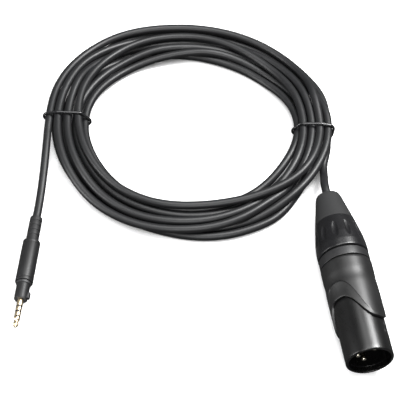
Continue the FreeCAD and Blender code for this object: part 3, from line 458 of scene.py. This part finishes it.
def build_band(axis, node, material, slot, bevel):
    """The part of a contact or black ring that shows on the plug's shaft, with the tube behind it."""
    p = points_of(node) - axis.origin
    s = p @ axis.d
    r = np.linalg.norm(p - np.outer(s, axis.d), axis=1)
    wide = r > 0.98 * 1.25
    front, back = s[wide].max(), s[wide].min()
    tube_r, bore, tail = r[~wide].max(), r.min(), s.min()
    corners = [(tail, bore, 0), (tail, tube_r, 0), (back, tube_r, 0), (back, 1.25, bevel), (front, 1.25, bevel),
               (front, bore, 0)]
    dress(lathe(node.replace("plug_", "jack_"), axis, corners, 64), "plug_tail", material, slot, node)


def build_tip(axis):
    """Waisted tip of the plug."""
    rear, tip = axis.span("plug_tip_contact")[:2]
    shoulder = axis.span("plug_insulator_3")[1] + 0.01
    corners = [(rear, 0.02, 0), (rear, 0.28, 0), (shoulder, 0.28, 0), (shoulder, 1.25, 0.06),
               (tip - 3.8, 1.25, 0.2), (tip - 3.05, 0.9, 0.3), (tip - 2.6, 0.88, 0.3), (tip - 1.7, 1.16, 0.35),
               (tip - 1.05, 1.12, 0.35), (tip - 0.25, 0.5, 0.25), (tip, 0.16, 0.1), (tip, 0.02, 0)]
    dress(lathe("jack_tip", axis, corners, 64, 6), "plug_tail", gold_material(), "gold", "plug_tip_contact")


def dress(piece, body, material, slot, *nodes):
    """Puts a finished piece in place: material, body, and the CAD nodes it stands for; slot is not used."""
    piece.data.materials.append(material)
    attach(piece, body)
    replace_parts(piece, *nodes)


# ---------------------------------------------------------------- materials

made = {}


def once(build):
    """Makes a material the first time it's asked for, and gives the same one afterwards."""
    def ask(*args):
        key = (build.__name__,) + args
        if key not in made:
            made[key] = build(*args)
        return made[key]
    return ask


class Nodes:
    """Shader nodes of one material, with short ways to add and join them."""

    def __init__(self, name):
        self.material = bpy.data.materials.new(name)
        self.material.use_nodes = True
        self.tree = self.material.node_tree
        self.shader = self.tree.nodes["Principled BSDF"]
        self.coords = self.add("ShaderNodeTexCoord")

    def add(self, kind, **settings):
        node = self.tree.nodes.new(kind)
        for key, value in settings.items():
            setattr(node, key, value)
        return node

    def join(self, output, socket):
        self.tree.links.new(output, socket)

    def noise(self, scale, detail=3.0, roughness=0.5, stretch=None, use_uv=False):
        """Noise in object space (scale per metre), or along the piece with use_uv."""
        node = self.add("ShaderNodeTexNoise")
        node.inputs["Scale"].default_value = scale
        node.inputs["Detail"].default_value = detail
        node.inputs["Roughness"].default_value = roughness
        source = self.coords.outputs["UV" if use_uv else "Object"]
        if stretch:
            mapping = self.add("ShaderNodeMapping")
            mapping.inputs["Scale"].default_value = stretch
            self.join(source, mapping.inputs["Vector"])
            source = mapping.outputs["Vector"]
        self.join(source, node.inputs["Vector"])
        return node.outputs["Fac"]

    def ramp(self, value, stops):
        """Maps a value through (position, grey or colour) stops."""
        node = self.add("ShaderNodeValToRGB")
        for k, (at, colour) in enumerate(stops):
            stop = node.color_ramp.elements[k] if k < 2 else node.color_ramp.elements.new(at)
            stop.position = at
            rgb = (colour,) * 3 if isinstance(colour, float) else colour
            stop.color = (*rgb, 1)
        self.join(value, node.inputs["Fac"])
        return node.outputs["Color"]

    def math(self, operation, a, b):
        node = self.add("ShaderNodeMath", operation=operation)
        for value, socket in ((a, node.inputs[0]), (b, node.inputs[1])):
            if isinstance(value, (int, float)):
                socket.default_value = value
            else:
                self.join(value, socket)
        return node.outputs[0]

    def mix(self, share, a, b):
        node = self.add("ShaderNodeMix", data_type="RGBA")
        for value, socket in ((share, node.inputs["Factor"]), (a, node.inputs[6]), (b, node.inputs[7])):
            if isinstance(value, float):
                socket.default_value = value
            elif isinstance(value, tuple):
                socket.default_value = (*value, 1)
            else:
                self.join(value, socket)
        return node.outputs[2]

    def bump(self, height, depth_mm, strength=1.0, under=None):
        node = self.add("ShaderNodeBump")
        node.inputs["Strength"].default_value = strength
        node.inputs["Distance"].default_value = depth_mm * MM
        self.join(height, node.inputs["Height"])
        if under is not None:
            self.join(under, node.inputs["Normal"])
        return node.outputs["Normal"]

    def edges(self, low=0.52, high=0.58):
        """1 on outward edges, 0 elsewhere."""
        geometry = self.add("ShaderNodeNewGeometry")
        return self.ramp(geometry.outputs["Pointiness"], [(low, 0.0), (high, 1.0)])

    def painted_corner_shade(self, low=0.40, high=0.48):
        """Mask for painted shade: 1 in inward corners, 0 elsewhere."""
        geometry = self.add("ShaderNodeNewGeometry")
        return self.ramp(geometry.outputs["Pointiness"], [(low, 1.0), (high, 0.0)])

    def set(self, **values):
        """Joins or sets the shader's inputs."""
        names = {"colour": "Base Color", "rough": "Roughness", "metal": "Metallic", "normal": "Normal",
                 "specular": "Specular IOR Level", "coat": "Coat Weight", "coat_rough": "Coat Roughness",
                 "sheen": "Sheen Weight"}
        for key, value in values.items():
            socket = self.shader.inputs[names[key]]
            if isinstance(value, (int, float)):
                socket.default_value = value
            elif isinstance(value, tuple):
                socket.default_value = (*value, 1)
            else:
                self.join(value, socket)
        return self.material


@once
def cable_material():
    """Extruded PVC: dark grey-black, satin, with faint draw lines along it and handling marks."""
    n = Nodes("cable_pvc")
    tone = n.noise(140, 4)
    streaks = n.noise(1.0, 2, 0.6, (46.0, 0.035, 1.0), True)
    grain = n.noise(5200, 2)
    marks = n.noise(620, 5, 0.65)
    colour = n.mix(tone, (0.0075, 0.0078, 0.0085), (0.014, 0.0143, 0.0152))
    colour = n.mix(n.ramp(marks, [(0.62, 0.0), (0.78, 0.35)]), colour, (0.026, 0.026, 0.027))
    rough = n.ramp(n.math("ADD", n.math("MULTIPLY", streaks, 0.5), n.math("MULTIPLY", marks, 0.5)),
                   [(0.3, 0.38), (0.7, 0.50)])
    normal = n.bump(streaks, 0.02, 0.5)
    normal = n.bump(grain, 0.012, 0.6, normal)
    return n.set(colour=colour, rough=rough, normal=normal, specular=0.5)


@once
def boot_material():
    """Matte rubber with a fine moulded grain."""
    n = Nodes("boot_rubber")
    grain = n.noise(3600, 3, 0.6)
    tone = n.noise(90, 4)
    colour = n.mix(tone, (0.012, 0.0122, 0.0125), (0.020, 0.0203, 0.021))
    colour = n.mix(n.edges(0.53, 0.62), colour, (0.050, 0.050, 0.051))
    rough = n.ramp(grain, [(0.35, 0.66), (0.65, 0.80)])
    return n.set(colour=colour, rough=rough, normal=n.bump(grain, 0.03, 0.7), specular=0.4)


@once
def nut_material():
    """Glossy moulded plastic with faint flow marks and fine scratches."""
    n = Nodes("nut_gloss")
    flow = n.noise(210, 3)
    scratches = n.noise(1.0, 4, 0.7, (160.0, 1.2, 1.0), True)
    colour = n.mix(flow, (0.0045, 0.0045, 0.005), (0.010, 0.010, 0.011))
    colour = n.mix(n.edges(), colour, (0.045, 0.045, 0.047))
    rough = n.ramp(scratches, [(0.35, 0.26), (0.7, 0.38)])
    normal = n.bump(n.noise(900, 2), 0.01, 0.5)
    return n.set(colour=colour, rough=rough, normal=normal, coat=0.15, coat_rough=0.3)


@once
def ring_material():
    """Satin moulded ring."""
    n = Nodes("ring_black")
    grain = n.noise(3000, 3)
    colour = n.mix(n.noise(160, 3), (0.010, 0.010, 0.0105), (0.020, 0.020, 0.021))
    colour = n.mix(n.edges(), colour, (0.075, 0.075, 0.076))
    rough = n.ramp(grain, [(0.35, 0.38), (0.65, 0.50)])
    return n.set(colour=colour, rough=rough, normal=n.bump(grain, 0.014, 0.6))


@once
def shell_material(name, dark, light, rough, wear):
    """Black coating on a die-casting: orange peel, cloudy tone, painted shade in inward corners, edges worn a little
    brighter.
    """
    n = Nodes(name)
    peel = n.noise(1500, 3, 0.55)
    cloud = n.noise(75, 4, 0.55)
    painted_corner_shade = n.painted_corner_shade()
    worn = n.math("MULTIPLY", n.edges(0.56, 0.68), n.ramp(n.noise(700, 5, 0.7), [(0.35, 0.25 * wear), (0.7, wear)]))
    colour = n.mix(worn, n.mix(cloud, (dark,) * 3, (light,) * 3), (0.20, 0.20, 0.205))
    # Painted shade: inward corners are coloured near black.
    colour = n.mix(painted_corner_shade, colour, (0.001, 0.001, 0.001))
    uneven = n.math("ADD", n.math("MULTIPLY", cloud, 0.6), n.math("MULTIPLY", peel, 0.4))
    rough = n.ramp(uneven, [(0.3, rough), (0.7, rough + 0.12)])
    # Painted shade: the specular is cut in inward corners as well.
    shine = n.math("MULTIPLY", n.math("SUBTRACT", 1.0, painted_corner_shade), 0.6)
    return n.set(colour=colour, rough=rough, normal=n.bump(peel, 0.014, 0.45), specular=shine)


@once
def insert_material():
    """Dark insulator deep in the mouth."""
    n = Nodes("insert_plastic")
    grain = n.noise(2600, 3)
    colour = n.mix(n.noise(300, 3), (0.008, 0.008, 0.009), (0.015, 0.015, 0.016))
    return n.set(colour=colour, rough=n.ramp(grain, [(0.3, 0.5), (0.7, 0.68)]), normal=n.bump(grain, 0.02, 0.6))


@once
def contact_material():
    """Bright plated pins with fine turning marks."""
    n = Nodes("contact_plated")
    turned = n.noise(1.0, 3, 0.6, (2.0, 22.0, 1.0), True)
    colour = n.mix(n.noise(800, 3), (0.86, 0.80, 0.66), (0.93, 0.89, 0.78))
    rough = n.ramp(turned, [(0.3, 0.12), (0.7, 0.24)])
    return n.set(colour=colour, rough=rough, normal=n.bump(turned, 0.004, 0.5), metal=1.0)


@once
def gold_material():
    """Polished gold plating with turning marks and slight tarnish."""
    n = Nodes("gold")
    turned = n.noise(1.0, 3, 0.6, (2.0, 30.0, 1.0), True)
    colour = n.mix(n.noise(650, 4), (0.93, 0.74, 0.46), (1.0, 0.86, 0.60))
    colour = n.mix(n.ramp(n.noise(1900, 4), [(0.6, 0.0), (0.75, 0.3)]), colour, (0.72, 0.50, 0.25))
    rough = n.ramp(turned, [(0.3, 0.30), (0.7, 0.42)])
    return n.set(colour=colour, rough=rough, normal=n.bump(turned, 0.004, 0.5), metal=1.0)


@once
def insulator_material():
    """Black plastic rings of the plug."""
    n = Nodes("plug_insulator")
    grain = n.noise(4000, 3)
    colour = n.mix(grain, (0.010, 0.009, 0.009), (0.022, 0.020, 0.019))
    return n.set(colour=colour, rough=n.ramp(grain, [(0.3, 0.42), (0.7, 0.6)]), normal=n.bump(grain, 0.006, 0.6))


@once
def plug_body_material():
    """Matte black anodised metal of the small plug, edges slightly rubbed."""
    n = Nodes("plug_body")
    grain = n.noise(3600, 3)
    colour = n.mix(n.noise(260, 4), (0.008, 0.008, 0.0085), (0.015, 0.015, 0.0155))
    worn = n.math("MULTIPLY", n.edges(0.53, 0.62), n.ramp(n.noise(900, 4), [(0.4, 0.3), (0.7, 1.0)]))
    colour = n.mix(worn, colour, (0.14, 0.14, 0.145))
    rough = n.ramp(grain, [(0.3, 0.40), (0.7, 0.54)])
    return n.set(colour=colour, rough=rough, normal=n.bump(grain, 0.01, 0.6), metal=0.15)


@once
def relief_material():
    """Soft moulded sleeve."""
    n = Nodes("relief_rubber")
    grain = n.noise(3900, 3)
    colour = n.mix(n.noise(220, 3), (0.004, 0.004, 0.0045), (0.009, 0.009, 0.0095))
    return n.set(colour=colour, rough=n.ramp(grain, [(0.3, 0.52), (0.7, 0.68)]), normal=n.bump(grain, 0.016, 0.6))


@once
def tie_material():
    """Glossy PVC coating of the wire ties, creased where it bends."""
    n = Nodes("tie_pvc")
    crease = n.noise(1300, 3, 0.6)
    colour = n.mix(n.noise(500, 3), (0.009, 0.009, 0.010), (0.018, 0.018, 0.019))
    rough = n.ramp(n.noise(2400, 3), [(0.3, 0.13), (0.7, 0.26)])
    return n.set(colour=colour, rough=rough, normal=n.bump(crease, 0.03, 0.4), coat=0.5, coat_rough=0.1)


@once
def hidden_material(name, dark, light, rough, metal):
    """Finish of a piece inside the cable or a connector."""
    n = Nodes(name)
    grain = n.noise(2200, 3)
    return n.set(colour=n.mix(n.noise(600, 3), dark, light), rough=n.ramp(grain, [(0.3, rough), (0.7, rough + 0.15)]),
                 normal=n.bump(grain, 0.008, 0.5), metal=metal)


CONDUCTOR_COLOURS = {
    "1": ((0.42, 0.03, 0.025), (0.55, 0.05, 0.04)),
    "2": ((0.68, 0.68, 0.65), (0.82, 0.82, 0.80)),
    "3": ((0.03, 0.17, 0.45), (0.05, 0.25, 0.60)),
    "4": ((0.05, 0.28, 0.10), (0.08, 0.40, 0.14)),
}


def dress_cad_nodes():
    """Finishes for the CAD nodes that are shown as they are."""
    for name, obj in frame["nodes"].items():
        if obj.hide_render:
            continue
        if "_conductor_" in name:
            material = hidden_material("conductor_" + name[-1], *CONDUCTOR_COLOURS[name[-1]], 0.35, 0.0)
        elif name == "cable_shield":
            material = hidden_material("shield_copper", (0.55, 0.30, 0.18), (0.76, 0.46, 0.30), 0.3, 1.0)
        elif name.startswith("tie_"):
            steel = hidden_material("tie_steel", (0.45, 0.45, 0.46), (0.62, 0.62, 0.63), 0.25, 1.0)
            material = steel if name.endswith("_wire") else tie_material()
        elif name == "xlr_ground_spring":
            material = hidden_material("spring_steel", (0.6, 0.6, 0.6), (0.75, 0.75, 0.75), 0.2, 1.0)
        elif name == "xlr_chuck":
            material = hidden_material("chuck_plastic", (0.09, 0.09, 0.09), (0.14, 0.14, 0.14), 0.45, 0.0)
        elif name == "plug_core":
            material = insulator_material()
        elif name == "plug_collar":
            material = plug_body_material()
        else:
            material = insert_material()
        obj.data.materials.clear()
        obj.data.materials.append(material)
        obj.data.shade_smooth()
        obj.data.set_sharp_from_angle(angle=math.radians(32))


# ---------------------------------------------------------------- studio

def rays_mix(tree, camera_shader, other_shader):
    """Shader that shows one look to the camera and another to everything else."""
    paths = tree.nodes.new("ShaderNodeLightPath")
    mix = tree.nodes.new("ShaderNodeMixShader")
    tree.links.new(paths.outputs["Is Camera Ray"], mix.inputs["Fac"])
    tree.links.new(other_shader, mix.inputs[1])
    tree.links.new(camera_shader, mix.inputs[2])
    return mix.outputs["Shader"]


def build_floor():
    """Plain pale floor. Deep between the strands it shows painted shade, dark to the camera, and it lights the object's
    underside only a little.
    """
    half = 3.0
    mesh = bpy.data.meshes.new("floor")
    corners = [(-half, -half, 0), (half, -half, 0), (half, half, 0), (-half, half, 0)]
    mesh.from_pydata([(x, y, -0.0002) for x, y, z in corners], [], [(0, 1, 2, 3)])
    floor = bpy.data.objects.new("floor", mesh)
    bpy.context.scene.collection.objects.link(floor)
    n = Nodes("floor")
    pale = n.add("ShaderNodeBsdfDiffuse")
    pale.inputs["Color"].default_value = (0.88, 0.88, 0.88, 1)
    glow = n.add("ShaderNodeEmission")
    glow.inputs["Strength"].default_value = FLOOR_GLOW
    both = n.add("ShaderNodeAddShader")
    n.join(pale.outputs[0], both.inputs[0])
    n.join(glow.outputs[0], both.inputs[1])
    dim = n.add("ShaderNodeBsdfDiffuse")
    dim.inputs["Color"].default_value = (FLOOR_BOUNCE_AND_SHADE, FLOOR_BOUNCE_AND_SHADE, FLOOR_BOUNCE_AND_SHADE, 1)
    # Painted shade: where the occlusion is deep, the camera sees the dim floor instead of the pale, glowing one.
    gap_shade_occlusion = n.add("ShaderNodeAmbientOcclusion", samples=8)
    gap_shade_occlusion.inputs["Distance"].default_value = 12 * MM
    seen = n.add("ShaderNodeMixShader")
    n.join(n.ramp(gap_shade_occlusion.outputs["AO"], [(0.16, 0.0), (0.42, 1.0)]), seen.inputs["Fac"])
    n.join(dim.outputs[0], seen.inputs[1])
    n.join(both.outputs[0], seen.inputs[2])
    surface = rays_mix(n.tree, seen.outputs[0], dim.outputs[0])
    n.join(surface, n.tree.nodes["Material Output"].inputs["Surface"])
    mesh.materials.append(n.material)


def build_world():
    """White backdrop for the camera, dim grey room for reflections."""
    world = bpy.data.worlds.new("studio")
    world.use_nodes = True
    tree = world.node_tree
    tree.nodes.clear()
    white = tree.nodes.new("ShaderNodeBackground")
    white.inputs["Strength"].default_value = 1.0
    room = tree.nodes.new("ShaderNodeBackground")
    room.inputs["Color"].default_value = (0.80, 0.82, 0.85, 1)
    room.inputs["Strength"].default_value = ROOM
    out = tree.nodes.new("ShaderNodeOutputWorld")
    tree.links.new(rays_mix(tree, white.outputs[0], room.outputs[0]), out.inputs["Surface"])
    bpy.context.scene.world = world


def softbox(name, place, aim, width, height, watts):
    """Rectangular soft light."""
    data = bpy.data.lights.new(name, "AREA")
    data.shape = "RECTANGLE"
    data.size, data.size_y, data.energy = width, height, watts
    light = bpy.data.objects.new(name, data)
    bpy.context.scene.collection.objects.link(light)
    light.location = place
    light.rotation_mode = "QUATERNION"
    light.rotation_quaternion = (Vector(aim) - Vector(place)).to_track_quat("-Z", "Y")


def build_camera():
    """Camera above the near side, looking down along +Y, framed for a square picture."""
    middle = (cad_box[0] + cad_box[1]) / 2
    aim = Vector((middle.x + AIM_ASIDE * MM, middle.y + AIM_AHEAD * MM, 0))
    e = math.radians(ELEVATION)
    away = Vector((0, -math.cos(e), math.sin(e)))
    data = bpy.data.cameras.new("camera")
    data.lens, data.sensor_width = 117, 36
    camera = bpy.data.objects.new("camera", data)
    bpy.context.scene.collection.objects.link(camera)
    camera.location = aim + away * CAMERA_AWAY * MM
    camera.rotation_mode = "QUATERNION"
    camera.rotation_quaternion = (-away).to_track_quat("-Z", "Y")
    bpy.context.scene.camera = camera


def build_studio():
    build_floor()
    build_world()
    softbox("key", (0.42, 0.24, 0.72), (0.0, 0.0, 0.0), 0.24, 0.40, 13)
    softbox("top_fill", (-0.05, 0.05, 0.90), (0.0, 0.0, 0.0), 0.60, 0.60, 5)
    softbox("strip_left", (-0.55, -0.10, 0.20), (0.03, -0.04, 0.01), 0.08, 0.5, 2.5)
    softbox("front_fill", (0.05, -0.75, 0.60), (0.0, 0.0, 0.0), 0.5, 0.25, 4.5)
    bpy.context.scene.view_settings.view_transform = "Standard"
    build_camera()


# ---------------------------------------------------------------- everything

build_cable()
xlr = Axis("nut_turn", "xlr_boot")
build_shell(xlr)
build_nut(xlr)
build_boot(xlr)
build_coding_ring(xlr)
build_pins(xlr)
build_plug(Axis("barrel_turn", "plug_relief"))
dress_cad_nodes()
build_studio()
